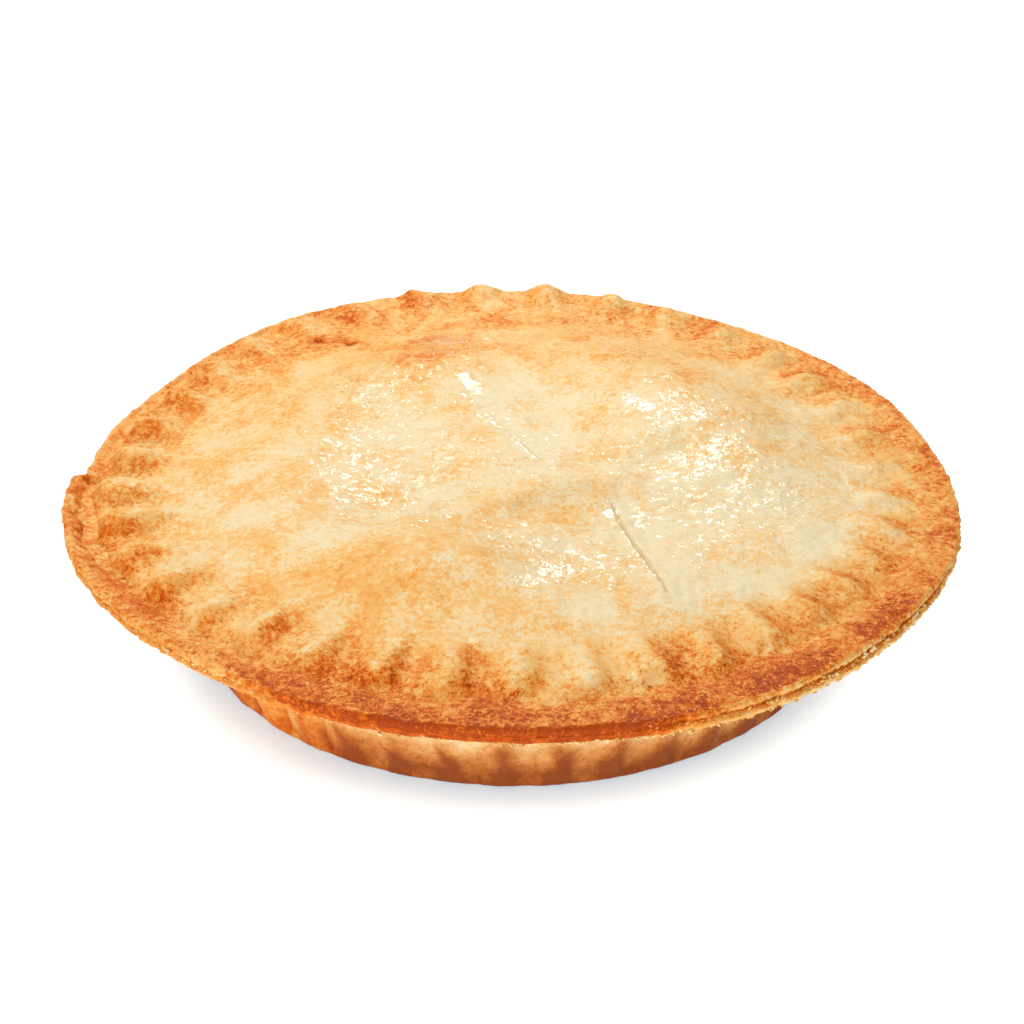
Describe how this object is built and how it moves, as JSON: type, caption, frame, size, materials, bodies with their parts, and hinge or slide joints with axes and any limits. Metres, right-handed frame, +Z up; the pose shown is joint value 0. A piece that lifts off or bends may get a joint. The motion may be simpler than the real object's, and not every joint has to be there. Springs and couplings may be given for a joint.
{
  "type": "double-crust pie",
  "caption": "Whole round pie with a domed pastry lid, crimped rim, two knife slits and a fluted tapering wall.",
  "frame": {"origin": "centre of the pie's extent seen from above, on the flat bottom it rests on", "axes": "+Z up through the lid; -Y towards the side nearest the viewer, +X to the viewer's right"},
  "size_m": [0.1612, 0.1616, 0.0338],
  "materials": {
    "baked_pastry": "golden baked shortcrust, speckled, with a thin glaze"
  },
  "bodies": {
    "root": {"pie": "baked_pastry"}
  },
  "joints": []
}
